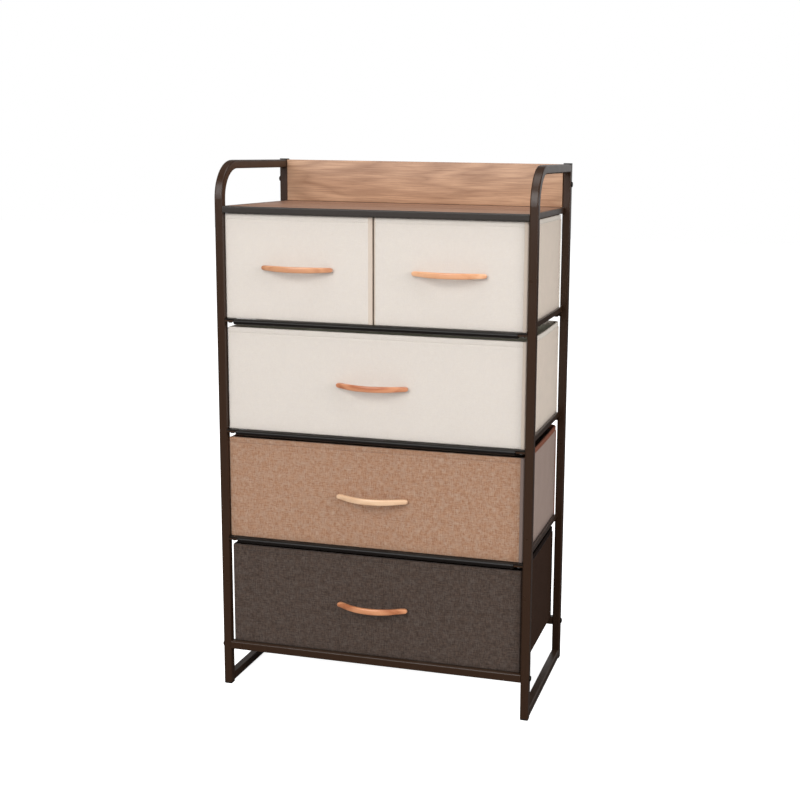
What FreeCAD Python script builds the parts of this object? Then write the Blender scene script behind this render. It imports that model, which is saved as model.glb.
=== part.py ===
"""Fabric drawer dresser: a steel tube stand with a wood top and back rail, and five fabric drawers.

Units are millimetres. X is the width, Y runs from the front (-Y) to the back (+Y), Z is up.
The origin is on the floor, below the centre of the whole dresser's box.
"""
import FreeCAD, Part
import math
import os

from FreeCAD import Vector

# ---------------------------------------------------------------- driving dimensions
WIDTH = 580.0                # across the outside of the two side frames
DEPTH = 300.0                # front of the front posts to the back of the rear posts
ARM_RISE = 79.5              # top of the arms over the tabletop

# side frames
TUBE = 15.0                  # square tube of the posts, arms, runners and bottom rails
TUBE_WALL = 1.2
TUBE_CORNER = 2.5            # outside radius on the long edges of the tube
ARM_BEND = 60.0              # centreline radius where a front post turns into its arm
STRETCHER_HEIGHT = 10.0      # flat bar on edge that ties a front post to a rear post
STRETCHER_THICKNESS = 3.0
STRETCHER_EDGE = 0.8         # radius on the bar's long edges
STRETCHER_INSET = 2.0        # from the inside of the posts outwards to the bar
STRETCHER_RISE = 3.5         # underside of a middle stretcher above the drawer level
GLIDE_HEIGHT = 3.0           # plastic pad under each post
GLIDE_ROUND = 1.5            # radius round the foot of the pad
CAP_HEIGHT = 2.0             # plastic cap on top of a rear post
PLUG_LENGTH = 14.0           # part of a cap or glide that is pushed into the tube
PLUG_PLAY = 0.15             # all round between that part and the tube

# cross rails and the levels that the drawers run on
BASE_LEVEL = 84.0            # top of the bottom rails
TOP_RAIL_HEIGHT = 12.0
RAIL_DEPTH = 15.0            # every cross rail, front to back
TOP_RAIL_CORNER = 2.0
RAIL_HEIGHT = 10.0           # middle rails, flat oval tube
RAIL_WALL = 1.2              # every cross rail but the bottom ones
TAB_LENGTH = 17.0            # flattened end of a middle rail
TAB_THICKNESS = 2.4
TAB_INSET = 1.0              # from the front and the rear of the rail to the edges of its tabs
TAB_ROOT = 5.0               # part of a tab that runs on inside the oval tube
LUG_THICKNESS = 3.0          # plate under each flattened end, welded to the post
LUG_LENGTH = 16.0
SPIGOT_LENGTH = 22.0         # stub on the post that a top rail is pushed over
SPIGOT_PLAY = 0.15

# fasteners
SCREW = 4.0                  # machine screws, thread diameter
SCREW_HEAD = 7.0
SCREW_HEAD_HEIGHT = 2.2
BOLT = 6.0                   # frame bolts, thread diameter
BOLT_HEAD = 10.0
BOLT_HEAD_HEIGHT = 2.5
BOLT_HEAD_ROUND = 1.5
BOLT_REACH = 26.0            # thread inside the bottom rail or the back rail
INSERT_LENGTH = 20.0         # threaded plug in each end of a bottom rail
LUG_SCREW_BITE = 2.2         # length of a lug screw inside the tab
WOOD_SCREW = 3.5
WOOD_SCREW_HEAD_HEIGHT = 1.6
WOOD_SCREW_BITE = 6.5        # length of a wood screw inside the tabletop
HOLE_PLAY = 0.4              # on the diameter, round a shank that passes through
THREAD_PLAY = 0.1            # on the diameter, round a shank that is screwed in
CUT_PAST = 1.0               # how far a cutter runs past the face that it opens

# boards
TABLETOP_THICKNESS = 8.0
BOARD_PLAY = 0.5             # between a board's edge and the frame
BOARD_EDGE = 1.0             # chamfer on the boards' long edges
TABLE_LUG = 20.0             # square plate that carries the tabletop
TABLE_LUG_THICKNESS = 2.0
TABLE_LUG_INSET = 70.0       # centre of an outer plate from the inside of the post
BACKBOARD_THICKNESS = 12.0
BACKBOARD_GAP = 0.3          # over the rear top rail
BACKBOARD_BOLT_DROP = 37.0   # bolt below the backboard's top edge

# drawers
DRAWER_PLAY = 2.0            # each side, between a drawer and the posts
LOWER_PLAY = 4.0             # the same for the lowest drawer, whose bin is sewn a little narrower
TOP_DRAWER_GAP = 4.0         # between the two top drawers
DRAWER_HEIGHT = 185.5
DRAWER_RECESS = 8.0          # front fabric behind the front of the posts
DRAWER_REAR_INSET = 8.0      # rear wall in front of the back of the posts, over the rear rails
DRAWER_HEADROOM = 5.2        # over a wide drawer, under the rail above it
TOP_HEADROOM = 0.7           # over a top drawer, under the top rail
RUN_CLEARANCE = 0.3          # under a drawer, over its rails
BIN_WALL = 2.5
BIN_FLOOR = 2.0
BIN_CORNER = 12.0            # rear vertical corners of a bin
SIDE_SAG = 2.0               # how far the top edge of a wide drawer's side dips in its middle
SAG_INSET = 20.0             # straight part of that edge beside each corner
COVER_THICKNESS = 1.2        # front fabric
COVER_EDGE = 2.4             # radius round the front fabric's edges
FRONT_BOARD_THICKNESS = 3.5
FRONT_BOARD_PLAY = 0.2
BASE_BOARD_THICKNESS = 3.0
BASE_BOARD_PLAY = 1.0

# handles
HANDLE_LENGTH = 132.0
HANDLE_HEIGHT = 11.0
HANDLE_PROJECTION = 29.0     # from the front fabric to the front of the bow
HANDLE_MIDDLE = 8.5          # thickness at the middle of the bow
HANDLE_PAD = 5.5             # thickness of the flat ends
PAD_LENGTH = 18.0            # flat length of an end, on the fabric
PAD_FRONT_LENGTH = 13.0      # flat length of an end, on the outside
PAD_ARC_SHARE = 0.35         # share of each S curve that bends away from the fabric
HANDLE_ROUND = 2.4
HANDLE_SCREW_INSET = 10.0    # screw from the tip of the handle
HANDLE_SCREW_BITE = 4.0      # length of the screw inside the handle

# ---------------------------------------------------------------- places that follow
LEVEL_PITCH = RUN_CLEARANCE + DRAWER_HEIGHT + DRAWER_HEADROOM + RAIL_HEIGHT
WIDE_DRAWERS = ["lower", "middle", "upper"]               # each has a front and a rear rail over it
TOP_LEVEL = BASE_LEVEL + len(WIDE_DRAWERS) * LEVEL_PITCH
TABLE_LEVEL = TOP_LEVEL + RUN_CLEARANCE + DRAWER_HEIGHT + TOP_HEADROOM + TOP_RAIL_HEIGHT
ARM_TOP = TABLE_LEVEL + ARM_RISE
FRONT_REACH = DEPTH / 2 + HANDLE_PROJECTION - DRAWER_RECESS
REAR_REACH = DEPTH / 2
POST_FRONT = (FRONT_REACH - REAR_REACH) / 2 - DEPTH / 2   # centres the whole box on Y = 0
POST_REAR = POST_FRONT + DEPTH
POST_OUT = WIDTH / 2
POST_IN = POST_OUT - TUBE
FRONT_POST_Y = POST_FRONT + TUBE / 2
REAR_POST_Y = POST_REAR - TUBE / 2
BAY_FRONT = POST_FRONT + TUBE                             # between the posts, front to back
BAY_REAR = POST_REAR - TUBE
BAY_Y = (BAY_FRONT + BAY_REAR) / 2
TABLE_UNDER = TABLE_LEVEL - TABLETOP_THICKNESS
BOTTOM_BOLT_Z = BASE_LEVEL - TUBE / 2
BACKBOARD_FRONT = BAY_REAR
BACKBOARD_BOLT_Y = BACKBOARD_FRONT + BACKBOARD_THICKNESS / 2
BACKBOARD_BOLT_Z = ARM_TOP - BACKBOARD_BOLT_DROP
FACE_Y = POST_FRONT + DRAWER_RECESS                       # front of the front fabric
BIN_FRONT = FACE_Y + COVER_THICKNESS + FRONT_BOARD_THICKNESS
BIN_REAR = POST_REAR - DRAWER_REAR_INSET
BORE = TUBE - 2 * TUBE_WALL                               # inside of the square tube
STEM = BORE / 2 - PLUG_PLAY                               # half the width of what is pushed into it

SIDES = {"left": -1, "right": 1}
ALONG_X, ALONG_Y, ALONG_Z = Vector(1, 0, 0), Vector(0, 1, 0), Vector(0, 0, 1)


def rail_top(index):
    """Top of the rails over a wide drawer, counted from the floor."""
    return BASE_LEVEL + (index + 1) * LEVEL_PITCH


def span(side, inner, outer):
    """Lower and upper X of a piece that reaches from an inner to an outer distance on one side."""
    return sorted((side * inner, side * outer))


# ---------------------------------------------------------------- shape helpers
def block(x0, x1, y0, y1, z0, z1):
    """Box between two opposite corners, given in any order."""
    corner = Vector(min(x0, x1), min(y0, y1), min(z0, z1))
    return Part.makeBox(abs(x1 - x0), abs(y1 - y0), abs(z1 - z0), corner)


def edges_along(shape, direction):
    """Straight edges of a shape that run along a direction."""
    straight = [e for e in shape.Edges if isinstance(e.Curve, Part.Line)]
    return [e for e in straight if abs(e.tangentAt(e.FirstParameter).dot(direction)) > 0.999]


def rear_corners(shape):
    """Upright edges in the rear half of a bin or board."""
    return [e for e in edges_along(shape, ALONG_Z) if e.CenterOfMass.y > BAY_Y]


def rod(start, direction, length, diameter):
    """Round rod from a start point."""
    return Part.makeCylinder(diameter / 2, length, start, direction)


def rounded_bar(x0, x1, y0, y1, z0, z1, axis, corner):
    """Bar whose four long edges, which run along the axis, are rounded."""
    bar = block(x0, x1, y0, y1, z0, z1)
    return bar.makeFillet(corner, edges_along(bar, axis))


def tube_bar(x0, x1, y0, y1, z0, z1, axis, wall, corner):
    """Rectangular tube, open at both ends, along one of the row's axes."""
    outside = rounded_bar(x0, x1, y0, y1, z0, z1, axis, corner)
    wx, wy, wz = [0 if abs(part) > 0.5 else wall for part in axis]
    bore = rounded_bar(x0 + wx, x1 - wx, y0 + wy, y1 - wy, z0 + wz, z1 - wz, axis, corner / 2)
    return outside.cut(bore)


def oval_bar(x0, x1, y0, y1, z0, z1):
    """Bar along X whose front and rear are half round."""
    radius = (z1 - z0) / 2
    bar = block(x0, x1, y0 + radius, y1 - radius, z0, z1)
    for y in (y0 + radius, y1 - radius):
        bar = bar.fuse(rod(Vector(x0, y, z0 + radius), ALONG_X, x1 - x0, 2 * radius))
    return bar.removeSplitter()


def swept_square(path, x, size, corner):
    """Square bar with rounded edges, swept along a path that starts upwards."""
    start = path.OrderedVertexes[0].Point
    stub = rounded_bar(x - size / 2, x + size / 2, start.y - size / 2, start.y + size / 2,
                       start.z, start.z + size, ALONG_Z, corner)
    end_face = min(stub.Faces, key=lambda face: face.CenterOfMass.z)
    return path.makePipeShell([end_face.OuterWire], True, False)


def mirror_x(shape):
    return shape.mirror(Vector(0, 0, 0), Vector(1, 0, 0))


# ---------------------------------------------------------------- side frames
def side_tube(side):
    """Front post and arm, bent from one tube that ends at the rear post, with its bolt hole."""
    x = side * (POST_OUT - TUBE / 2)
    arm_z = ARM_TOP - TUBE / 2
    bend_start = Vector(x, FRONT_POST_Y, arm_z - ARM_BEND)
    bend_end = Vector(x, FRONT_POST_Y + ARM_BEND, arm_z)
    inset = ARM_BEND * (1 - math.cos(math.radians(45)))
    bend_middle = Vector(x, FRONT_POST_Y + inset, arm_z - inset)
    path = Part.Wire([
        Part.LineSegment(Vector(x, FRONT_POST_Y, GLIDE_HEIGHT), bend_start).toShape(),
        Part.Arc(bend_start, bend_middle, bend_end).toShape(),
        Part.LineSegment(bend_end, Vector(x, BAY_REAR, arm_z)).toShape(),
    ])
    tube = swept_square(path, x, TUBE, TUBE_CORNER)
    tube = tube.cut(swept_square(path, x, BORE, TUBE_CORNER / 2))
    return tube.cut(bolt_way(side, FRONT_POST_Y, BOTTOM_BOLT_Z))


def bolt_way(side, y, z):
    """Cutter for a bolt that passes through a post from its outer side."""
    start = Vector(side * (POST_OUT + CUT_PAST), y, z)
    return rod(start, Vector(-side, 0, 0), TUBE + 2 * CUT_PAST, BOLT + HOLE_PLAY)


def rear_post(side):
    """Post from its glide up to its cap, with its two bolt holes."""
    x0, x1 = span(side, POST_IN, POST_OUT)
    post = tube_bar(x0, x1, BAY_REAR, POST_REAR, GLIDE_HEIGHT, ARM_TOP, ALONG_Z, TUBE_WALL, TUBE_CORNER)
    post = post.cut(bolt_way(side, REAR_POST_Y, BOTTOM_BOLT_Z))
    return post.cut(bolt_way(side, BACKBOARD_BOLT_Y, BACKBOARD_BOLT_Z))


def floor_runner(side):
    x0, x1 = span(side, POST_IN, POST_OUT)
    return tube_bar(x0, x1, BAY_FRONT, BAY_REAR, GLIDE_HEIGHT, GLIDE_HEIGHT + TUBE,
                    ALONG_Y, TUBE_WALL, TUBE_CORNER)


def stretcher(side, underside):
    """Flat bar between the front and the rear post, just outside their inner faces."""
    inner = POST_IN + STRETCHER_INSET
    x0, x1 = span(side, inner, inner + STRETCHER_THICKNESS)
    return rounded_bar(x0, x1, BAY_FRONT, BAY_REAR, underside, underside + STRETCHER_HEIGHT,
                       ALONG_Y, STRETCHER_EDGE)


def make_side_frames(nodes):
    undersides = [rail_top(index) + STRETCHER_RISE for index in range(len(WIDE_DRAWERS))]
    undersides.append(TABLE_LEVEL - STRETCHER_HEIGHT)
    for name, side in SIDES.items():
        nodes[name + "_side_tube"] = side_tube(side)
        nodes[name + "_rear_post"] = rear_post(side)
        nodes[name + "_floor_runner"] = floor_runner(side)
        nodes[name + "_stretchers"] = Part.makeCompound([stretcher(side, z) for z in undersides])
    nodes["rear_post_caps"] = Part.makeCompound([rear_post_cap(side) for side in SIDES.values()])
    nodes["foot_glides"] = Part.makeCompound([
        foot_glide(side, y) for side in SIDES.values() for y in (FRONT_POST_Y, REAR_POST_Y)])


def rear_post_cap(side):
    """Cap over the open top of a rear post, with the stem that holds it."""
    x = side * (POST_OUT - TUBE / 2)
    y = REAR_POST_Y
    half = TUBE / 2
    cap = rounded_bar(x - half, x + half, y - half, y + half, ARM_TOP, ARM_TOP + CAP_HEIGHT,
                      ALONG_Z, TUBE_CORNER)
    stem = rounded_bar(x - STEM, x + STEM, y - STEM, y + STEM, ARM_TOP - PLUG_LENGTH, ARM_TOP,
                       ALONG_Z, TUBE_CORNER / 2)
    return cap.fuse(stem)


def foot_glide(side, y):
    """Plastic pad under a post, with the stem that is pushed up into it."""
    x = side * (POST_OUT - TUBE / 2)
    half = TUBE / 2
    pad = rounded_bar(x - half, x + half, y - half, y + half, 0, GLIDE_HEIGHT, ALONG_Z, TUBE_CORNER)
    pad = pad.makeFillet(GLIDE_ROUND, [e for e in pad.Edges if e.BoundBox.ZMax < 1e-6])
    stem = rounded_bar(x - STEM, x + STEM, y - STEM, y + STEM, GLIDE_HEIGHT, GLIDE_HEIGHT + PLUG_LENGTH,
                       ALONG_Z, TUBE_CORNER / 2)
    return pad.fuse(stem)


# ---------------------------------------------------------------- cross rails
def rail_rows():
    """Front and rear places of the cross rails: name, front face, rear face."""
    return [("front", POST_FRONT, POST_FRONT + RAIL_DEPTH), ("rear", POST_REAR - RAIL_DEPTH, POST_REAR)]


def lug_screw_way(side, y, top, play):
    """Cutter for the screw that holds a middle rail's tab to its lug."""
    start = Vector(side * (POST_IN - LUG_LENGTH / 2), y, top - RAIL_HEIGHT)
    return rod(start, ALONG_Z, RAIL_HEIGHT + CUT_PAST, SCREW + play)


def middle_rail(y0, y1, top):
    """Rail that carries drawers: a flat oval tube whose ends are pressed into tabs."""
    x_body = POST_IN - TAB_LENGTH
    body = oval_bar(-x_body, x_body, y0, y1, top - RAIL_HEIGHT, top)
    rail = body.cut(oval_bar(-x_body, x_body, y0 + RAIL_WALL, y1 - RAIL_WALL,
                             top - RAIL_HEIGHT + RAIL_WALL, top - RAIL_WALL))
    for side in SIDES.values():
        x0, x1 = span(side, x_body - TAB_ROOT, x_body)
        root = body.common(block(x0, x1, y0, y1, top - TAB_THICKNESS, top))
        x0, x1 = span(side, x_body, POST_IN)
        tab = block(x0, x1, y0 + TAB_INSET, y1 - TAB_INSET, top - TAB_THICKNESS, top)
        rail = rail.fuse([root, tab]).cut(lug_screw_way(side, (y0 + y1) / 2, top, THREAD_PLAY))
    return rail.removeSplitter()


def rail_lug(side, y0, y1, top):
    """Plate on the post, right under a middle rail's tab."""
    x0, x1 = span(side, POST_IN - LUG_LENGTH, POST_IN)
    under = top - TAB_THICKNESS
    lug = block(x0, x1, y0 + TAB_INSET, y1 - TAB_INSET, under - LUG_THICKNESS, under)
    return lug.cut(lug_screw_way(side, (y0 + y1) / 2, top, HOLE_PLAY))


def lug_screw(side, y, top):
    """Screw from below, through the lug, into the tab."""
    seat = Vector(side * (POST_IN - LUG_LENGTH / 2), y, top - TAB_THICKNESS - LUG_THICKNESS)
    head = rod(seat, -ALONG_Z, SCREW_HEAD_HEIGHT, SCREW_HEAD)
    return head.fuse(rod(seat, ALONG_Z, LUG_THICKNESS + LUG_SCREW_BITE, SCREW))


def top_rail(y0, y1):
    """Rail beside the tabletop, open at both ends for the spigots on the posts."""
    rail = tube_bar(-POST_IN, POST_IN, y0, y1, TABLE_LEVEL - TOP_RAIL_HEIGHT, TABLE_LEVEL,
                    ALONG_X, RAIL_WALL, TOP_RAIL_CORNER)
    for side in SIDES.values():
        rail = rail.cut(set_screw(side, (y0 + y1) / 2, THREAD_PLAY))
    return rail


def spigot(side, y0, y1):
    """Stub welded to the post, inside the end of a top rail."""
    x0, x1 = span(side, POST_IN - SPIGOT_LENGTH, POST_IN)
    inset = RAIL_WALL + SPIGOT_PLAY
    stub = rounded_bar(x0, x1, y0 + inset, y1 - inset, TABLE_LEVEL - TOP_RAIL_HEIGHT + inset,
                       TABLE_LEVEL - inset, ALONG_X, TOP_RAIL_CORNER / 2)
    return stub.cut(set_screw(side, (y0 + y1) / 2, HOLE_PLAY))


def set_screw(side, y, play=0.0):
    """Headless screw, flush with the underside of a top rail, that locks it on its spigot."""
    start = Vector(side * (POST_IN - SPIGOT_LENGTH / 2), y, TABLE_LEVEL - TOP_RAIL_HEIGHT)
    return rod(start, ALONG_Z, TOP_RAIL_HEIGHT / 2, SCREW + play)


def bottom_rail(y0, y1):
    """Rail bolted between the posts, under the lowest drawer."""
    return tube_bar(-POST_IN, POST_IN, y0, y1, BASE_LEVEL - TUBE, BASE_LEVEL, ALONG_X, TUBE_WALL, TUBE_CORNER)


def rail_insert(side, y):
    """Threaded plug in the end of a bottom rail."""
    x0, x1 = span(side, POST_IN - INSERT_LENGTH, POST_IN)
    plug = rounded_bar(x0, x1, y - STEM, y + STEM, BOTTOM_BOLT_Z - STEM, BOTTOM_BOLT_Z + STEM,
                       ALONG_X, TUBE_CORNER / 2)
    start = Vector(side * (POST_IN + CUT_PAST), y, BOTTOM_BOLT_Z)
    return plug.cut(rod(start, Vector(-side, 0, 0), INSERT_LENGTH + 2 * CUT_PAST, BOLT + THREAD_PLAY))


def frame_bolt(side, y, z):
    """Bolt through a post, with a domed head on its outer side."""
    seat = Vector(side * POST_OUT, y, z)
    head = rod(seat, Vector(side, 0, 0), BOLT_HEAD_HEIGHT, BOLT_HEAD)
    circles = [e for e in head.Edges if isinstance(e.Curve, Part.Circle)]
    rim = max(circles, key=lambda edge: abs(edge.CenterOfMass.x))
    head = head.makeFillet(BOLT_HEAD_ROUND, [rim])
    return head.fuse(rod(seat, Vector(-side, 0, 0), TUBE + BOLT_REACH, BOLT))


def make_rails(nodes):
    lugs, screws, spigots, inserts, bolts = [], [], [], [], []
    for row, y0, y1 in rail_rows():
        middle_y = (y0 + y1) / 2
        nodes[row + "_top_rail"] = top_rail(y0, y1)
        nodes[row + "_bottom_rail"] = bottom_rail(y0, y1)
        for index, level in enumerate(WIDE_DRAWERS):
            nodes["%s_%s_rail" % (row, level)] = middle_rail(y0, y1, rail_top(index))
            lugs += [rail_lug(side, y0, y1, rail_top(index)) for side in SIDES.values()]
            screws += [lug_screw(side, middle_y, rail_top(index)) for side in SIDES.values()]
        for side in SIDES.values():
            spigots.append(spigot(side, y0, y1))
            screws.append(set_screw(side, middle_y))
            inserts.append(rail_insert(side, middle_y))
            bolts.append(frame_bolt(side, middle_y, BOTTOM_BOLT_Z))
    nodes["rail_lugs"] = Part.makeCompound(lugs)
    nodes["rail_screws"] = Part.makeCompound(screws)
    nodes["rail_spigots"] = Part.makeCompound(spigots)
    nodes["rail_inserts"] = Part.makeCompound(inserts)
    nodes["bottom_rail_bolts"] = Part.makeCompound(bolts)


# ---------------------------------------------------------------- tabletop and backboard
def table_lug_places():
    """Centres of the plates under the tabletop: x, face of the rail, way in from it."""
    xs = [-(POST_IN - TABLE_LUG_INSET), 0.0, POST_IN - TABLE_LUG_INSET]
    return [(x, face, inwards) for x in xs for face, inwards in ((BAY_FRONT, 1), (BAY_REAR, -1))]


def make_boards(nodes):
    half_width = POST_IN - BOARD_PLAY
    table = block(-half_width, half_width, BAY_FRONT + BOARD_PLAY, BAY_REAR - BOARD_PLAY,
                  TABLE_UNDER, TABLE_LEVEL)
    lugs, screws = [], []
    for x, face, inwards in table_lug_places():
        y = face + inwards * (TABLE_LUG / 2 + BOARD_PLAY)
        seat = Vector(x, y, TABLE_UNDER - TABLE_LUG_THICKNESS)
        bite = TABLE_LUG_THICKNESS + WOOD_SCREW_BITE
        lug = block(x - TABLE_LUG / 2, x + TABLE_LUG / 2, face, face + inwards * (TABLE_LUG + BOARD_PLAY),
                    TABLE_UNDER - TABLE_LUG_THICKNESS, TABLE_UNDER)
        lugs.append(lug.cut(rod(seat, ALONG_Z, TABLE_LUG_THICKNESS, WOOD_SCREW + HOLE_PLAY)))
        head = rod(seat, -ALONG_Z, WOOD_SCREW_HEAD_HEIGHT, SCREW_HEAD)
        screws.append(head.fuse(rod(seat, ALONG_Z, bite, WOOD_SCREW)))
        table = table.cut(rod(seat, ALONG_Z, bite + THREAD_PLAY, WOOD_SCREW + THREAD_PLAY))
    nodes["tabletop"] = table
    nodes["tabletop_lugs"] = Part.makeCompound(lugs)
    nodes["tabletop_screws"] = Part.makeCompound(screws)

    board = block(-half_width, half_width, BACKBOARD_FRONT, BACKBOARD_FRONT + BACKBOARD_THICKNESS,
                  TABLE_LEVEL + BACKBOARD_GAP, ARM_TOP)
    board = board.makeChamfer(BOARD_EDGE, edges_along(board, ALONG_X))
    for side in SIDES.values():
        start = Vector(side * POST_IN, BACKBOARD_BOLT_Y, BACKBOARD_BOLT_Z)
        board = board.cut(rod(start, Vector(-side, 0, 0), BOLT_REACH + CUT_PAST, BOLT + THREAD_PLAY))
    nodes["backboard"] = board
    nodes["backboard_bolts"] = Part.makeCompound([
        frame_bolt(side, BACKBOARD_BOLT_Y, BACKBOARD_BOLT_Z) for side in SIDES.values()])


# ---------------------------------------------------------------- drawers
def drawer_places():
    """Every drawer: name, left side, right side, height of its level."""
    edge = POST_IN - DRAWER_PLAY
    half_gap = TOP_DRAWER_GAP / 2
    places = [("top_left", -edge, -half_gap, TOP_LEVEL), ("top_right", half_gap, edge, TOP_LEVEL)]
    for index, name in enumerate(WIDE_DRAWERS):
        half = POST_IN - (LOWER_PLAY if name == "lower" else DRAWER_PLAY)
        places.append((name, -half, half, BASE_LEVEL + index * LEVEL_PITCH))
    return places


def sag_cutter(x0, x1, top, sag):
    """Wide flat arc that takes the dip out of the top edges of both sides."""
    front, rear = BIN_FRONT + SAG_INSET, BIN_REAR - SAG_INSET
    half = (rear - front) / 2
    radius = (half ** 2 + sag ** 2) / (2 * sag)
    start = Vector(x0 - CUT_PAST, (front + rear) / 2, top - sag + radius)
    return rod(start, ALONG_X, x1 - x0 + 2 * CUT_PAST, 2 * radius)


def fabric_bin(x0, x1, z0, z1, sag):
    """Soft box, open at the top, as its sewn panels: bottom, front, rear, corners and sides."""
    outside = block(x0, x1, BIN_FRONT, BIN_REAR, z0, z1)
    outside = outside.makeFillet(BIN_CORNER, rear_corners(outside))
    inside = block(x0 + BIN_WALL, x1 - BIN_WALL, BIN_FRONT + BIN_WALL, BIN_REAR - BIN_WALL,
                   z0 + BIN_FLOOR, z1 + CUT_PAST)
    inside = inside.makeFillet(BIN_CORNER - BIN_WALL, rear_corners(inside))
    shell = outside.cut(inside)
    if sag:
        shell = shell.cut(sag_cutter(x0, x1, z1, sag))

    floor, wall_rear, corner = z0 + BIN_FLOOR, BIN_FRONT + BIN_WALL, BIN_REAR - BIN_CORNER
    panels = [(x0, x1, BIN_FRONT, BIN_REAR, z0, floor),
              (x0, x1, BIN_FRONT, wall_rear, floor, z1),
              (x0 + BIN_CORNER, x1 - BIN_CORNER, corner, BIN_REAR, floor, z1),
              (x0, x0 + BIN_CORNER, corner, BIN_REAR, floor, z1),
              (x1 - BIN_CORNER, x1, corner, BIN_REAR, floor, z1),
              (x0, x0 + BIN_WALL, wall_rear, corner, floor, z1),
              (x1 - BIN_WALL, x1, wall_rear, corner, floor, z1)]
    return Part.makeCompound([solid for panel in panels for solid in shell.common(block(*panel)).Solids])


def front_cover(x0, x1, z0, z1):
    """Front fabric, wrapped over the edges of its stiffening board."""
    cover = block(x0, x1, FACE_Y, BIN_FRONT, z0, z1)
    front_edges = [e for e in cover.Edges if e.CenterOfMass.y < FACE_Y + 1e-6]
    cover = cover.makeFillet(COVER_EDGE, front_edges)
    inset = COVER_THICKNESS
    return cover.cut(block(x0 + inset, x1 - inset, FACE_Y + inset, BIN_FRONT, z0 + inset, z1 - inset))


def s_curve(x_pad, y_pad, y_middle, bend_share):
    """Right half of one face of the bow in plan: from the middle, two arcs to the flat end at x_pad."""
    rise = y_middle - y_pad
    turn = 2 * math.atan(rise / x_pad)
    radii = x_pad / math.sin(turn)
    outer, inner = radii * (1 - bend_share), radii * bend_share

    def on_outer(angle):
        return Vector(outer * math.sin(angle), -(y_middle - outer * (1 - math.cos(angle))), 0)

    def on_inner(angle):
        return Vector(x_pad - inner * math.sin(angle), -(y_pad + inner * (1 - math.cos(angle))), 0)

    return [Part.Arc(on_outer(0), on_outer(turn / 2), on_outer(turn)).toShape(),
            Part.Arc(on_inner(turn), on_inner(turn / 2), on_inner(0)).toShape()]


def handle(x, z):
    """Bow handle with flat ends: half is drawn in plan and mirrored."""
    tip = HANDLE_LENGTH / 2
    nose = HANDLE_PAD / 2
    front = s_curve(tip - PAD_FRONT_LENGTH, HANDLE_PAD, HANDLE_PROJECTION, PAD_ARC_SHARE)
    back = s_curve(tip - PAD_LENGTH, 0.0, HANDLE_PROJECTION - HANDLE_MIDDLE, PAD_ARC_SHARE)
    pad_front = Vector(tip - PAD_FRONT_LENGTH, -HANDLE_PAD, 0)
    nose_front = Vector(tip - nose, -HANDLE_PAD, 0)
    nose_tip = Vector(tip, -nose, 0)
    nose_back = Vector(tip - nose, 0, 0)
    pad_back = Vector(tip - PAD_LENGTH, 0, 0)
    middle_back = Vector(0, HANDLE_MIDDLE - HANDLE_PROJECTION, 0)
    middle_front = Vector(0, -HANDLE_PROJECTION, 0)
    outline = front + [Part.LineSegment(pad_front, nose_front).toShape(),
                       Part.Arc(nose_front, nose_tip, nose_back).toShape(),
                       Part.LineSegment(nose_back, pad_back).toShape()]
    outline += back + [Part.LineSegment(middle_back, middle_front).toShape()]
    wire = Part.Wire(Part.__sortEdges__(outline))
    half = Part.Face(wire).extrude(ALONG_Z * HANDLE_HEIGHT)
    bow = half.fuse(mirror_x(half)).removeSplitter()
    faces = [f for f in bow.Faces if f.BoundBox.ZLength < 1e-6]
    bow = bow.makeFillet(HANDLE_ROUND, [e for f in faces for e in f.Edges])
    bow.translate(Vector(x, FACE_Y, z - HANDLE_HEIGHT / 2))
    return bow


def make_drawer(nodes, name, x0, x1, level):
    """All the pieces of one drawer, each with its screw holes."""
    z0 = level + RUN_CLEARANCE
    z1 = z0 + DRAWER_HEIGHT
    middle_x, middle_z = (x0 + x1) / 2, (z0 + z1) / 2
    head_y = BIN_FRONT + BIN_WALL
    reach = head_y - FACE_Y + HANDLE_SCREW_BITE
    screw_starts = [Vector(middle_x + side * (HANDLE_LENGTH / 2 - HANDLE_SCREW_INSET), head_y, middle_z)
                    for side in SIDES.values()]

    inset = COVER_THICKNESS + FRONT_BOARD_PLAY
    soft = {
        "bin": fabric_bin(x0, x1, z0, z1, SIDE_SAG if name in WIDE_DRAWERS else 0),
        "front_cover": front_cover(x0, x1, z0, z1),
        "front_board": block(x0 + inset, x1 - inset, FACE_Y + COVER_THICKNESS, BIN_FRONT,
                             z0 + inset, z1 - inset),
    }
    for piece, shape in soft.items():
        for start in screw_starts:
            shape = shape.cut(rod(start, -ALONG_Y, head_y - FACE_Y, SCREW + HOLE_PLAY))
        nodes["%s_%s" % (name, piece)] = shape

    inset = BIN_WALL + BASE_BOARD_PLAY
    floor = z0 + BIN_FLOOR
    base = block(x0 + inset, x1 - inset, BIN_FRONT + inset, BIN_REAR - inset,
                 floor, floor + BASE_BOARD_THICKNESS)
    nodes[name + "_base_board"] = base.makeFillet(BIN_CORNER - BIN_WALL, rear_corners(base))

    grip = handle(middle_x, middle_z)
    for start in screw_starts:
        grip = grip.cut(rod(start, -ALONG_Y, reach + THREAD_PLAY, SCREW + THREAD_PLAY))
    nodes[name + "_handle"] = grip
    nodes[name + "_handle_screws"] = Part.makeCompound([
        rod(start, -ALONG_Y, reach, SCREW).fuse(rod(start, ALONG_Y, SCREW_HEAD_HEIGHT, SCREW_HEAD))
        for start in screw_starts])


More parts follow.
